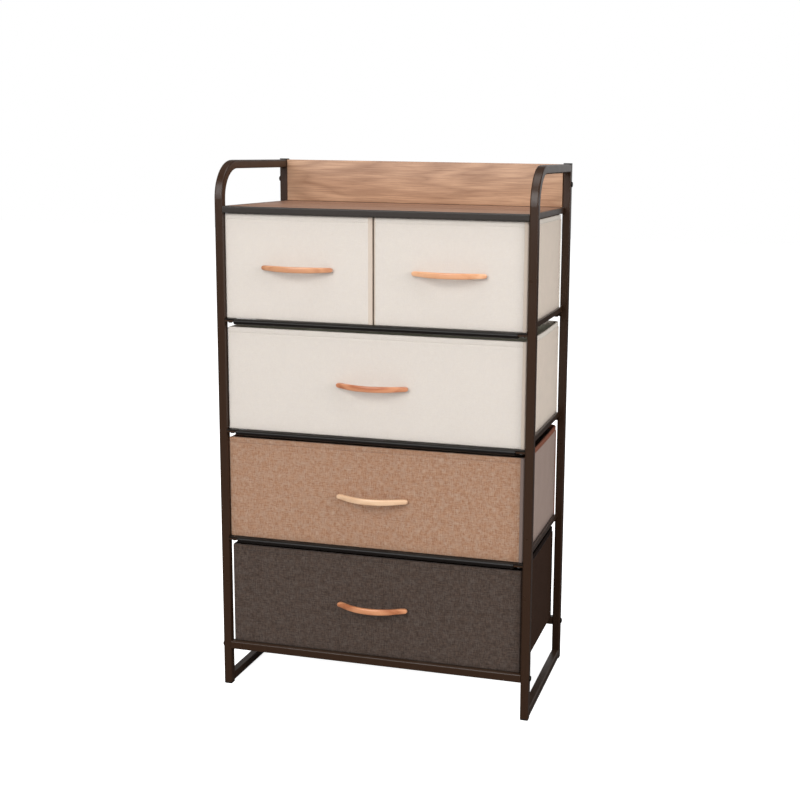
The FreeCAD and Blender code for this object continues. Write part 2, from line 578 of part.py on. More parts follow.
# ---------------------------------------------------------------- build
def main():
    nodes = {}
    make_side_frames(nodes)
    make_rails(nodes)
    make_boards(nodes)
    for name, x0, x1, level in drawer_places():
        make_drawer(nodes, name, x0, x1, level)

    os.makedirs("parts", exist_ok=True)
    for name, shape in nodes.items():
        if not shape.isValid():
            raise ValueError("invalid shape: " + name)
        shape.exportStep(os.path.join("parts", name + ".step"))
    whole = Part.makeCompound(list(nodes.values())).optimalBoundingBox()
    print("%d nodes, %.1f x %.1f x %.1f mm, y %.2f to %.2f" % (
        len(nodes), whole.XLength, whole.YLength, whole.ZLength, whole.YMin, whole.YMax))


main()
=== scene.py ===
"""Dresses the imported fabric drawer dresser: sewn bins, linen fronts, bow handles, boards and painted tube."""
import math

import bmesh
import bpy
from mathutils import Matrix, Vector, noise


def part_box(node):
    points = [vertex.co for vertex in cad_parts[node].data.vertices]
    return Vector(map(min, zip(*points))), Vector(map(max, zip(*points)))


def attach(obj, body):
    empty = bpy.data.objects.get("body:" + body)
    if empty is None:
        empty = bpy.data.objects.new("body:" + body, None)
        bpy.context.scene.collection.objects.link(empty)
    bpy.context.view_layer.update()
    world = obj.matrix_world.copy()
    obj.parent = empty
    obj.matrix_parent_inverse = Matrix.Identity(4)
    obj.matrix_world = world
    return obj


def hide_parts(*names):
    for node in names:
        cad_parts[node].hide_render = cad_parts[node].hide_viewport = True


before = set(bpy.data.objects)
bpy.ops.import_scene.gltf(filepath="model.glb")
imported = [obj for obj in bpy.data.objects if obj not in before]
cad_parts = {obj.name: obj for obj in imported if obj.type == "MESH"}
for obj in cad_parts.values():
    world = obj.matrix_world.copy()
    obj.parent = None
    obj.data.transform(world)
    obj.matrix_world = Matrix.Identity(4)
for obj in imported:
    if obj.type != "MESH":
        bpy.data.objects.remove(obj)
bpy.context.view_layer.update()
MM = 0.001
ON_WALL = 1e-4               # a point this near to a bin's wall belongs to it
SAME = 1e-5                  # places this near to each other are one place
LEVEL = 1e-7                 # and so are heights that were set to one number


# ---------------------------------------------------------------- colours
def tint(red, green, blue):
    """Linear colour of a screen colour from 0 to 255."""
    def linear(c):
        c /= 255
        return c / 12.92 if c <= 0.04045 else ((c + 0.055) / 1.055) ** 2.4
    return linear(red), linear(green), linear(blue), 1.0


def grey(level):
    return level, level, level, 1


def darker(colour, share):
    return tuple(c * share for c in colour[:3]) + (1,)


ESPRESSO = tint(53, 34, 21)
# painted shade and painted reflection: the middle rails get this near-black copy of the frame's paint, the top
# rail the grey one below
RAIL_PAINTED_SHADE = tint(22, 18, 16)
TOP_RAIL_PAINTED_REFLECTION = tint(54, 49, 46)
# lighter colours for edges: partly rubbed wear, partly a painted edge highlight
RUBBED_AND_HIGHLIT_PAINT = tint(96, 84, 74)
RUBBED_AND_HIGHLIT_PLASTIC = tint(70, 66, 62)
RUBBED_AND_HIGHLIT_STEEL = tint(190, 186, 180)
PAINT_DUST = tint(150, 144, 136)
WOOD_DUST = tint(200, 192, 184)
WALNUT_PORE = tint(88, 58, 40)
BEECH_PORE = tint(120, 70, 40)
CREAM = tint(229, 221, 212)
CREAM_SIDE = tint(231, 215, 200)


# ---------------------------------------------------------------- things in the scene
def put(name, data):
    """An object of this name with this mesh, camera or light, put in the scene."""
    made = bpy.data.objects.new(name, data)
    bpy.context.scene.collection.objects.link(made)
    return made


def mesh_of(bm, name):
    """Turns a bmesh into a mesh and lets it go."""
    mesh = bpy.data.meshes.new(name)
    bm.to_mesh(mesh)
    bm.free()
    return mesh


# ---------------------------------------------------------------- camera
SENSOR, LENS = 36.0, 56.05
SHIFT = (-0.11125, -0.05)
TURNED = (14.032, 9.537, 0.849)              # to the left, down and sideways, in degrees
STANDS_AT = (0.7126, -2.1503, 0.9877)


def make_camera():
    """Looks at the dresser from the front, a little from the right and from above."""
    data = bpy.data.cameras.new("camera")
    camera = put("camera", data)
    data.sensor_width, data.lens = SENSOR, LENS
    data.shift_x, data.shift_y = SHIFT
    data.clip_start, data.clip_end = 0.05, 60.0
    yaw, pitch, roll = (math.radians(a) for a in TURNED)
    ahead = Vector((-math.sin(yaw) * math.cos(pitch), math.cos(yaw) * math.cos(pitch), -math.sin(pitch)))
    right = ahead.cross(Vector((0, 0, 1))).normalized()
    up = right.cross(ahead)
    right, up = right * math.cos(roll) + up * math.sin(roll), up * math.cos(roll) - right * math.sin(roll)
    turn = Matrix((right, up, -ahead)).transposed().to_4x4()
    camera.matrix_world = Matrix.Translation(STANDS_AT) @ turn
    bpy.context.scene.camera = camera


# ---------------------------------------------------------------- shader nodes
def set_inputs(tree, sockets, values):
    """An input given as a socket is linked, anything else is its value."""
    for key, value in values.items():
        if isinstance(value, bpy.types.NodeSocket):
            tree.links.new(value, sockets[key])
        else:
            sockets[key].default_value = value


def add(tree, kind, inputs=None, **settings):
    """Adds a shader node, with its settings and its inputs."""
    made = tree.nodes.new("ShaderNode" + kind)
    for key, value in settings.items():
        setattr(made, key, value)
    set_inputs(tree, made.inputs, inputs or {})
    return made


def calc(tree, operation, a, b=0.0, clamp=False):
    """One step of arithmetic."""
    return add(tree, "Math", {0: a, 1: b}, operation=operation, use_clamp=clamp).outputs[0]


def weighed(tree, a, share_a, b, share_b):
    """Sum of two values, each times its share."""
    return calc(tree, "ADD", calc(tree, "MULTIPLY", a, share_a), calc(tree, "MULTIPLY", b, share_b))


def scaled(tree, vector, by):
    """A vector times another, axis by axis."""
    return add(tree, "VectorMath", {0: vector, 1: by}, operation="MULTIPLY").outputs[0]


def stretched(tree, vector, x, y, z):
    """A vector times three numbers, any of which may be a socket."""
    return scaled(tree, vector, add(tree, "CombineXYZ", {0: x, 1: y, 2: z}).outputs[0])


def rand(tree, vector, scale, detail=2.0, rough=0.5, warp=0.0):
    """Smooth random value from 0 to 1."""
    return add(tree, "TexNoise", {"Vector": vector, "Scale": scale, "Detail": detail,
                                  "Roughness": rough, "Distortion": warp}).outputs["Fac"]


def remap(tree, value, low, high, to_low=0.0, to_high=1.0):
    """Moves a value from one range to another and holds it there."""
    return add(tree, "MapRange", {"Value": value, "From Min": low, "From Max": high,
                                  "To Min": to_low, "To Max": to_high}).outputs["Result"]


def blend(tree, factor, a, b, how="MIX"):
    """Mixes two colours."""
    return add(tree, "Mix", {0: factor, 6: a, 7: b}, data_type="RGBA", blend_type=how).outputs[2]


def new_group(name, inputs, outputs):
    """An empty node group: the group, its input sockets and its output sockets."""
    group = bpy.data.node_groups.new(name, "ShaderNodeTree")
    for label, value in inputs.items():
        kind = "NodeSocketVector" if value is None else "NodeSocketFloat"
        socket = group.interface.new_socket(label, in_out="INPUT", socket_type=kind)
        if value is not None:
            socket.default_value = value
    for label in outputs:
        group.interface.new_socket(label, in_out="OUTPUT", socket_type="NodeSocketFloat")
    return group, group.nodes.new("NodeGroupInput").outputs, group.nodes.new("NodeGroupOutput").inputs


def use(tree, group, **inputs):
    """Places a node group and returns its output sockets."""
    made = tree.nodes.new("ShaderNodeGroup")
    made.node_tree = group
    set_inputs(tree, made.inputs, inputs)
    return made.outputs


def weave_group():
    """Plain weave of threads along U and V: tone of the thread on top, and its height."""
    g, given, out = new_group("weave", {"Vector": None, "Pitch": 0.001, "Slub": 0.4}, ["Tone", "Height"])
    per_metre = calc(g, "DIVIDE", 1.0, given["Pitch"])
    at = add(g, "VectorMath", {0: given["Vector"], "Scale": per_metre}, operation="SCALE").outputs[0]
    drift = calc(g, "MULTIPLY", calc(g, "SUBTRACT", rand(g, at, 0.09), 0.5), given["Slub"])
    parts = add(g, "SeparateXYZ", {0: at}).outputs
    u = calc(g, "ADD", parts[0], drift)
    v = calc(g, "SUBTRACT", parts[1], drift)
    tones, heights = [], []
    for across, along, own_row in ((u, v, 0.0), (v, u, 71.3)):
        cell = calc(g, "ADD", calc(g, "FLOOR", across), own_row)
        thread_tone = add(g, "TexWhiteNoise", {"W": cell}, noise_dimensions="1D").outputs["Value"]
        place = add(g, "CombineXYZ", {0: calc(g, "MULTIPLY", cell, 7.13), 1: calc(g, "MULTIPLY", along, 0.3)})
        slow_tone = rand(g, place.outputs[0], scale=1.0, detail=1.0)
        tones.append(weighed(g, thread_tone, 0.2, slow_tone, 0.8))
        heights.append(calc(g, "SINE", calc(g, "MULTIPLY", calc(g, "FRACT", across), math.pi)))
    checker = calc(g, "MODULO", calc(g, "ADD", calc(g, "FLOOR", u), calc(g, "FLOOR", v)), 2.0)
    over = calc(g, "GREATER_THAN", calc(g, "ABSOLUTE", checker), 0.5)
    under = calc(g, "SUBTRACT", 1.0, over)
    for socket, (a, b) in (("Tone", tones), ("Height", heights)):
        g.links.new(weighed(g, a, over, b, under), out[socket])
    return g


def heather_group():
    """Streaks of another yarn along both thread directions, and cloudy spots."""
    g, given, out = new_group("heather", {"Vector": None, "Width": 0.002, "Length": 0.012}, ["Mask", "Cloud"])
    thin = calc(g, "DIVIDE", 1.0, given["Width"])
    long = calc(g, "DIVIDE", 1.0, given["Length"])
    streaks = []
    for first, second, shift in ((thin, long, 3.0), (long, thin, 47.0)):
        cells = stretched(g, given["Vector"], first, second, 1.0)
        moved = add(g, "VectorMath", {0: cells, 1: (shift, shift, 0)}, operation="ADD").outputs[0]
        streaks.append(remap(g, rand(g, moved, scale=1.0, detail=2.0, rough=0.6), 0.34, 0.66))
    g.links.new(calc(g, "MULTIPLY", calc(g, "ADD", *streaks), 0.5), out["Mask"])
    g.links.new(rand(g, given["Vector"], scale=80.0, detail=4.0, rough=0.7), out["Cloud"])
    return g


def grain_group():
    """Wood whose grain runs along X: growth lines, fibres and pores."""
    g, given, out = new_group(
        "grain", {"Vector": None, "Lines": 9.0, "Spread": 7.0, "Stretch": 1.3, "Fibre": 420.0},
        ["Lines", "Fibre", "Pores"])
    slow = stretched(g, given["Vector"], given["Stretch"], given["Spread"], given["Spread"])
    hills = rand(g, slow, scale=1.0, detail=2.5, rough=0.45, warp=0.25)
    rings = calc(g, "FRACT", calc(g, "MULTIPLY", hills, given["Lines"]))
    ridge = calc(g, "MULTIPLY", calc(g, "ABSOLUTE", calc(g, "SUBTRACT", rings, 0.5)), 2.0)
    g.links.new(calc(g, "POWER", ridge, 1.6), out["Lines"])
    fine = stretched(g, given["Vector"], 14.0, given["Fibre"], given["Fibre"])
    g.links.new(rand(g, fine, scale=1.0, detail=3.0, rough=0.65), out["Fibre"])
    pores = rand(g, scaled(g, fine, (2.0, 1.6, 1.6)), scale=1.0, detail=2.0, rough=0.7)
    g.links.new(remap(g, pores, 0.62, 0.72), out["Pores"])
    return g


def worn_and_highlit_edge_group():
    """Where an edge is close by, broken up so that it looks rubbed; the mask lightens edges as wear and as a
    painted highlight.
    """
    g, given, out = new_group("worn and highlit edge", {"Vector": None, "Radius": 0.001, "Amount": 1.0}, ["Mask"])
    rounded = add(g, "Bevel", {"Radius": given["Radius"]}, samples=4).outputs[0]
    flat = add(g, "NewGeometry").outputs["Normal"]
    same = add(g, "VectorMath", {0: rounded, 1: flat}, operation="DOT_PRODUCT").outputs["Value"]
    edge = remap(g, same, 0.99, 0.78)
    patchy = remap(g, rand(g, given["Vector"], scale=60.0, detail=4.0, rough=0.7), 0.35, 0.65)
    g.links.new(calc(g, "MULTIPLY", calc(g, "MULTIPLY", edge, patchy), given["Amount"], clamp=True), out["Mask"])
    return g


def peel_group():
    """Orange peel of a sprayed or moulded surface, and small specks in it."""
    g, given, out = new_group("peel", {"Vector": None, "Size": 0.0012}, ["Height", "Specks"])
    per_metre = calc(g, "DIVIDE", 1.0, given["Size"])
    g.links.new(rand(g, given["Vector"], per_metre), out["Height"])
    fine = rand(g, given["Vector"], calc(g, "MULTIPLY", per_metre, 2.3), detail=1.0)
    g.links.new(remap(g, fine, 0.66, 0.76), out["Specks"])
    return g


def dust_group():
    """Faint dust where a face looks up."""
    g, given, out = new_group("dust", {"Vector": None, "Amount": 0.3}, ["Mask"])
    upwards = add(g, "SeparateXYZ", {0: add(g, "NewGeometry").outputs["Normal"]}).outputs[2]
    cloud = remap(g, rand(g, given["Vector"], scale=30.0, detail=5.0, rough=0.7), 0.3, 0.75)
    lying = calc(g, "MULTIPLY", remap(g, upwards, 0.6, 1.0), cloud)
    g.links.new(calc(g, "MULTIPLY", lying, given["Amount"]), out["Mask"])
    return g


WEAVE, HEATHER, GRAIN = weave_group(), heather_group(), grain_group()
WEAR_AND_HIGHLIGHT, PEEL, DUST = worn_and_highlit_edge_group(), peel_group(), dust_group()


# ---------------------------------------------------------------- materials
def new_material(name, **values):
    """A material with a Principled shader; values are its own sockets.

    Returns the material, its tree, its shader and the coordinates."""
    material = bpy.data.materials.new(name)
    material.use_nodes = True
    tree = material.node_tree
    shader = tree.nodes["Principled BSDF"]
    for key, value in values.items():
        shader.inputs[key.replace("_", " ")].default_value = value
    where = tree.nodes.new("ShaderNodeTexCoord").outputs
    return material, tree, shader, where


def feed(tree, shader, socket, value):
    tree.links.new(value, shader.inputs[socket])


def bump(tree, shader, height, distance, strength=1.0):
    made = add(tree, "Bump", {"Height": height, "Distance": distance, "Strength": strength})
    feed(tree, shader, "Normal", made.outputs[0])


def linen(name, light, dark, fleck, flecked, contrast):
    """Linen-look cloth in two yarns, with flecks of a third."""
    material, tree, shader, where = new_material(
        name, Roughness=0.85, Specular_IOR_Level=0.25, Sheen_Weight=0.12, Sheen_Roughness=0.5)
    at = where["UV"]
    cloth = use(tree, WEAVE, Vector=at, Pitch=0.0009, Slub=0.8)
    streak = use(tree, HEATHER, Vector=at, Width=0.0021, Length=0.010)
    tone = weighed(tree, remap(tree, cloth["Tone"], 0.25, 0.75), 0.38, streak["Mask"], 0.62)
    yarn = blend(tree, remap(tree, tone, 0.5 - contrast, 0.5 + contrast), dark, light)
    spots = calc(tree, "MULTIPLY", remap(tree, streak["Cloud"], 0.42, 0.62), streak["Mask"])
    yarn = blend(tree, calc(tree, "MULTIPLY", spots, flecked), yarn, fleck)
    gap = remap(tree, cloth["Height"], 0.0, 0.5, 0.82, 1.0)
    shadow = add(tree, "CombineColor", {0: gap, 1: gap, 2: gap}).outputs[0]
    feed(tree, shader, "Base Color", blend(tree, 1.0, yarn, shadow, "MULTIPLY"))
    bump(tree, shader, cloth["Height"], 0.00035, 0.6)
    return material


def felt(name, colour, other, painted_glow=0.0):
    """Pressed non-woven cloth: fine fibres and small dimples. The glow is painted light: emission that stands in
    for light coming through the cloth.
    """
    material, tree, shader, where = new_material(
        name, Roughness=0.95, Specular_IOR_Level=0.06, Emission_Color=colour, Emission_Strength=painted_glow)
    at = where["UV"]
    cloud = rand(tree, at, scale=35.0, detail=4.0, rough=0.6)
    fibre = rand(tree, at, scale=900.0, detail=3.0, rough=0.7, warp=0.4)
    mottle = weighed(tree, cloud, 0.2, fibre, 0.8)
    feed(tree, shader, "Base Color", blend(tree, remap(tree, mottle, 0.38, 0.62), other, colour))
    dimple = add(tree, "TexVoronoi", {"Vector": at, "Scale": 620.0, "Randomness": 0.35}).outputs["Distance"]
    height = calc(tree, "ADD", calc(tree, "MULTIPLY", remap(tree, dimple, 0.0, 0.5), 0.5), fibre)
    bump(tree, shader, height, 0.00025, 0.5)
    return material


def thread(name, colour):
    """Sewing thread, twisted."""
    material, tree, shader, where = new_material(name, Roughness=0.6, Sheen_Weight=0.2)
    twist = add(tree, "TexWave", {"Vector": where["Object"], "Scale": 900.0, "Distortion": 1.0},
                bands_direction="DIAGONAL").outputs["Fac"]
    feed(tree, shader, "Base Color", blend(tree, twist, darker(colour, 0.8), colour))
    bump(tree, shader, twist, 0.0001)
    return material


def powder_coat(name, base, speck, shine):
    """Sprayed and baked paint: orange peel, specks, rubbed edges lightened partly as a painted highlight, and a
    little dust on top.
    """
    material, tree, shader, where = new_material(name, Specular_IOR_Level=shine)
    at = where["Object"]
    peel = use(tree, PEEL, Vector=at, Size=0.0011)
    # edges lightened: rubbed wear and a painted highlight
    wear_and_highlight = use(tree, WEAR_AND_HIGHLIGHT, Vector=at, Radius=0.0016, Amount=0.18)
    dust = use(tree, DUST, Vector=at, Amount=0.08)
    colour = blend(tree, peel["Specks"], base, speck)
    colour = blend(tree, wear_and_highlight["Mask"], colour, RUBBED_AND_HIGHLIT_PAINT)
    colour = blend(tree, dust["Mask"], colour, PAINT_DUST)
    feed(tree, shader, "Base Color", colour)
    uneven = rand(tree, at, scale=45.0, detail=3.0)
    rough = calc(tree, "ADD", 0.24, calc(tree, "MULTIPLY", uneven, 0.12))
    feed(tree, shader, "Roughness", calc(tree, "ADD", rough, calc(tree, "MULTIPLY", dust["Mask"], 0.8)))
    bump(tree, shader, peel["Height"], 0.00012, 0.5)
    return material


def plastic():
    """Matt moulded plastic of the caps and the glides."""
    material, tree, shader, where = new_material("black moulded plastic")
    at = where["Object"]
    peel = use(tree, PEEL, Vector=at, Size=0.0006)
    # edges lightened: rubbed wear and a painted highlight
    wear_and_highlight = use(tree, WEAR_AND_HIGHLIGHT, Vector=at, Radius=0.0008, Amount=0.5)
    feed(tree, shader, "Base Color", blend(tree, wear_and_highlight["Mask"], tint(30, 28, 27), RUBBED_AND_HIGHLIT_PLASTIC))
    feed(tree, shader, "Roughness", remap(tree, peel["Height"], 0.3, 0.7, 0.45, 0.6))
    bump(tree, shader, peel["Height"], 0.00008, 0.4)
    return material


def steel(name, colour, metallic, low, high):
    """Plated steel, brushed; low and high are its least and most roughness."""
    material, tree, shader, where = new_material(name, Metallic=metallic)
    at = where["Object"]
    brushed = rand(tree, scaled(tree, at, (300.0, 900.0, 2600.0)), scale=1.0, detail=3.0, rough=0.6)
    # edges lightened: rubbed wear and a painted highlight
    wear_and_highlight = use(tree, WEAR_AND_HIGHLIGHT, Vector=at, Radius=0.0006, Amount=0.6)
    shade = blend(tree, remap(tree, brushed, 0.3, 0.7), darker(colour, 0.75), colour)
    feed(tree, shader, "Base Color", blend(tree, wear_and_highlight["Mask"], shade, RUBBED_AND_HIGHLIT_STEEL))
    feed(tree, shader, "Roughness", remap(tree, brushed, 0.3, 0.7, low, high))
    bump(tree, shader, brushed, 0.00005, 0.4)
    return material


def laminate(name, light, middle, dark, **lines):
    """Walnut-print laminate, grain along X. The print is flat, so there is hardly any bump."""
    material, tree, shader, where = new_material(name, Coat_Weight=0.1, Coat_Roughness=0.35)
    at = where["Object"]
    wood = use(tree, GRAIN, Vector=at, Fibre=640.0, **lines)
    broad = rand(tree, scaled(tree, at, (1.6, 16.0, 16.0)), scale=1.0, detail=3.0, rough=0.55, warp=0.3)
    colour = blend(tree, remap(tree, broad, 0.36, 0.66), middle, light)
    colour = blend(tree, calc(tree, "MULTIPLY", wood["Lines"], 0.42), colour, dark)
    colour = blend(tree, remap(tree, wood["Fibre"], 0.42, 0.68, 0.0, 0.58), colour, dark)
    colour = blend(tree, calc(tree, "MULTIPLY", wood["Pores"], 0.45), colour, WALNUT_PORE)
    # edges lightened: rubbed wear and a painted highlight
    wear_and_highlight = use(tree, WEAR_AND_HIGHLIGHT, Vector=at, Radius=0.0012, Amount=0.5)
    colour = blend(tree, wear_and_highlight["Mask"], colour, light)
    dust = use(tree, DUST, Vector=at, Amount=0.06)
    colour = blend(tree, dust["Mask"], colour, WOOD_DUST)
    feed(tree, shader, "Base Color", colour)
    feed(tree, shader, "Roughness", remap(tree, wood["Fibre"], 0.3, 0.7, 0.42, 0.55))
    bump(tree, shader, wood["Pores"], 0.00006, 0.3)
    return material


def beech(name, light, dark):
    """Varnished wood of a handle, grain along X."""
    material, tree, shader, where = new_material(name, Coat_Weight=0.6, Coat_Roughness=0.28)
    wood = use(tree, GRAIN, Vector=where["Object"], Lines=3.0, Spread=45.0, Stretch=2.0, Fibre=2600.0)
    tone = weighed(tree, wood["Lines"], 0.5, wood["Fibre"], 0.5)
    colour = blend(tree, remap(tree, tone, 0.25, 0.75), light, dark)
    colour = blend(tree, calc(tree, "MULTIPLY", wood["Pores"], 0.3), colour, BEECH_PORE)
    feed(tree, shader, "Base Color", colour)
    feed(tree, shader, "Roughness", remap(tree, wood["Fibre"], 0.3, 0.7, 0.36, 0.48))
    bump(tree, shader, wood["Fibre"], 0.00008, 0.3)
    return material


def fibreboard():
    """Bare pressed board of the drawers."""
    material, tree, shader, where = new_material("bare fibreboard", Roughness=0.85)
    chips = rand(tree, where["Object"], scale=700.0, detail=4.0, rough=0.75, warp=0.6)
    colour = blend(tree, remap(tree, chips, 0.35, 0.65), tint(128, 96, 68), tint(170, 134, 100))
    feed(tree, shader, "Base Color", colour)
    bump(tree, shader, chips, 0.0001, 0.5)
    return material


PAINT = powder_coat("espresso powder coat", ESPRESSO, tint(72, 56, 44), 0.36)
# copies of the espresso paint: near-black as painted shade on the middle rails, grey as a painted reflection on
# the top rail
SHADE_DARKENED_RAIL_PAINT = powder_coat("black-brown powder coat", RAIL_PAINTED_SHADE, tint(40, 35, 31), 0.2)
REFLECTION_LIT_TOP_RAIL_PAINT = powder_coat("grey-brown powder coat", TOP_RAIL_PAINTED_REFLECTION, tint(74, 68, 63), 0.3)
PLASTIC, BOARD = plastic(), fibreboard()
ZINC = steel("zinc-plated steel", tint(182, 182, 180), 1.0, 0.28, 0.42)
DARK_STEEL = steel("dark plated steel", tint(44, 38, 34), 0.85, 0.38, 0.52)
TOP_WOOD = laminate("walnut print, top", tint(182, 139, 111), tint(158, 113, 88), tint(120, 80, 59),
                    Lines=9.0, Spread=9.0, Stretch=1.2)
BACK_WOOD = laminate("walnut print, back", tint(205, 164, 132), tint(172, 129, 98), tint(126, 86, 60),
                     Lines=8.0, Spread=17.0, Stretch=2.4)

# The cloth of the drawers, by material slot: fronts, bins outside, bins where they are turned round the front
# board (darker copies, as painted shade), bins inside (the cream one with a painted glow), tape along the top
# edges and sewing thread.
LINENS = {
    "cream_linen": linen("cream linen", CREAM, tint(221, 211, 201), tint(216, 208, 204), 0.3, 0.5),
    "brown_linen": linen("brown linen", tint(188, 150, 122), tint(152, 106, 78), tint(186, 168, 152), 0.5, 0.34),
    "dark_linen": linen("dark linen", tint(92, 75, 65), tint(54, 41, 34), tint(100, 93, 88), 0.45, 0.28),
}
FELTS = {
    "cream_fabric": felt("cream non-woven", CREAM_SIDE, tint(214, 202, 189)),
    "taupe_fabric": felt("taupe non-woven", tint(168, 148, 139), tint(154, 135, 125)),
    "dark_fabric": felt("dark non-woven", tint(62, 44, 35), tint(53, 37, 28)),
}
# painted shade: darker copies of the bin fabrics, for where they turn into the gaps beside the linen
EDGES = {
    "cream_fabric": felt("cream edge, painted shade", tint(210, 195, 181), tint(198, 184, 170)),
    "taupe_fabric": felt("taupe edge, painted shade", tint(137, 121, 114), tint(126, 110, 103)),
    "dark_fabric": felt("dark edge, painted shade", tint(58, 42, 34), tint(50, 35, 27)),
}
LININGS = {
    # painted light: the cream lining glows a little, which lights the inside of the cream bins
    "cream_fabric": felt("cream lining", tint(186, 184, 168), tint(172, 170, 154), 0.05),
    "taupe_fabric": felt("taupe lining", tint(120, 108, 100), tint(104, 92, 86)),
    "dark_fabric": felt("dark lining", tint(52, 42, 37), tint(44, 35, 30)),
}
BINDINGS = {
    "cream_fabric": felt("cream binding", tint(232, 224, 214), tint(220, 210, 198)),
    "taupe_fabric": felt("rust binding", tint(146, 96, 78), tint(124, 76, 60)),
    "dark_fabric": felt("dark binding", tint(40, 30, 26), tint(30, 22, 20)),
}
THREADS = {
    "cream_linen": thread("cream thread", tint(214, 205, 194)),
    "brown_linen": thread("brown thread", tint(150, 112, 92)),
    "dark_linen": thread("dark thread", tint(58, 48, 44)),
}
HANDLE_WOODS = {
    "top_left": beech("beech, top left", tint(213, 153, 112), tint(180, 114, 76)),
    "top_right": beech("beech, top right", tint(238, 183, 141), tint(212, 146, 102)),
    "upper": beech("beech, upper", tint(212, 144, 104), tint(176, 102, 64)),
    "middle": beech("beech, middle", tint(232, 194, 158), tint(204, 154, 112)),
    "lower": beech("beech, lower", tint(216, 148, 104), tint(176, 104, 64)),
}


# ---------------------------------------------------------------- meshes
def clamped(t):
    return min(max(t, 0), 1)


def smooth(t):
    """Rises softly from 0 to 1."""
    t = clamped(t)
    return t * t * (3 - 2 * t)


def box_mesh(bm, low, high):
    """Adds a box between two corners."""
    low, high = Vector(low), Vector(high)
    size = high - low
    place = Matrix.Translation((low + high) / 2) @ Matrix.Diagonal((*size, 1))
    bmesh.ops.create_cube(bm, size=1, matrix=place)


def bevel(bm, geom, offset, segments, affect="EDGES"):
    bmesh.ops.bevel(bm, geom=geom, offset=offset, offset_type="OFFSET", segments=segments, profile=0.5,
                    affect=affect, material=-1)


def slice_mesh(bm, axis, places):
    """Cuts the mesh along flat planes, which adds rows of vertices to shape it by."""
    normal = Vector([float(axis == i) for i in range(3)])
    for place in places:
        bmesh.ops.bisect_plane(bm, geom=bm.verts[:] + bm.edges[:] + bm.faces[:], dist=1e-6,
                               plane_co=normal * place, plane_no=normal)


def runs_along(edge, axis):
    return abs((edge.verts[0].co - edge.verts[1].co).normalized()[axis]) > 0.9


def lift(geometry, height):
    """Moves the vertices among newly made geometry to a height."""
    for part in geometry:
        if isinstance(part, bmesh.types.BMVert):
            part.co.z = height


def raise_rim(bm, rim, heights):
    """Extrudes the edges of a rim up through several heights."""
    for z in heights:
        lift(bmesh.ops.extrude_edge_only(bm, edges=rim)["geom"], z)
        rim = [e for e in bm.edges if all(abs(v.co.z - z) < LEVEL for v in e.verts)]


def spaced(low, high, step):
    """Evenly spaced places between two ends, both left out."""
    count = max(1, round((high - low) / step))
    return [low + (high - low) * i / count for i in range(1, count)]


def cloth_map(bm):
    """UV map in metres: along the wall and up it, or flat on a floor."""
    layer = bm.loops.layers.uv.verify()
    for face in bm.faces:
        n = face.normal
        for loop in face.loops:
            x, y, z = loop.vert.co
            if abs(n.z) > 0.8:
                loop[layer].uv = (x, y)
            elif abs(n.x) > abs(n.y):
                loop[layer].uv = (y, z)
            else:
                loop[layer].uv = (x, z)


def piece(bm, name, body, materials, replaced=(), sharp=None):
    """Turns a bmesh into a named piece that rides on a body and has the given materials."""
    mesh = mesh_of(bm, name)
    mesh.shade_smooth()
    if sharp:
        mesh.set_sharp_from_angle(angle=math.radians(sharp))
    made = put(name, mesh)
    for material in materials:
        mesh.materials.append(material)
    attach(made, body)
    if replaced:
        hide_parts(*replaced)
    return made


def thicken(made, thickness, lining=0):
    """Gives a skin its thickness inwards; lining is the material of the inside."""
    solid = made.modifiers.new("thickness", "SOLIDIFY")
    solid.thickness, solid.offset, solid.use_even_offset = thickness, -1.0, True
    solid.material_offset = lining


def round_off(made, width, segments):
    """Rounds the edges where a skin turns by more than 50 degrees."""
    soft = made.modifiers.new("rounding", "BEVEL")
    soft.width, soft.segments, soft.limit_method, soft.angle_limit = width, segments, "ANGLE", math.radians(50)


# ---------------------------------------------------------------- drawers
WALL = 2.5 * MM              # thickness of a bin's wall
CORNER = 12 * MM             # radius of its rear corners
STEP = 13 * MM               # length of the pieces that its long edges are cut into
# heights of its rows of vertices, as shares of its own height
ROWS = (0.015, 0.06, 0.15, 0.28, 0.42, 0.56, 0.7, 0.82, 0.92, 1.0)
SAG, SAG_INSET = 2 * MM, 20 * MM     # dip of a wide bin's side edges, and how far from front and rear it ends
SAG_FROM = 0.2               # share of the height below which the dip isn't felt
BELLY, REAR_BELLY = 0.8 * MM, 1.6    # how far a wall bows out, and how many times as far the rear one
RIPPLE = 0.4 * MM            # how uneven it is
RIPPLES = (9, 14)            # and how many times in a metre, along it and up it
HEM = 9 * MM                 # depth of the binding along the top edge
PROUD = 0.45 * MM            # how far the binding stands out from the wall
WELT = 1.5 * MM              # radius of a corner welt
WELT_STEP, WELT_SWING = 18 * MM, 0.25 * MM     # its rows of vertices, and how far it wanders

STITCH, STITCH_GAP = 2.3 * MM, 1.4 * MM
STITCH_WIDE, STITCH_HIGH = 0.75 * MM, 0.6 * MM
STITCH_OUT = 0.6 * MM        # how far the binding's stitches lie outside the wall
STITCH_UP = 1.3 * MM         # and above the binding's lower edge

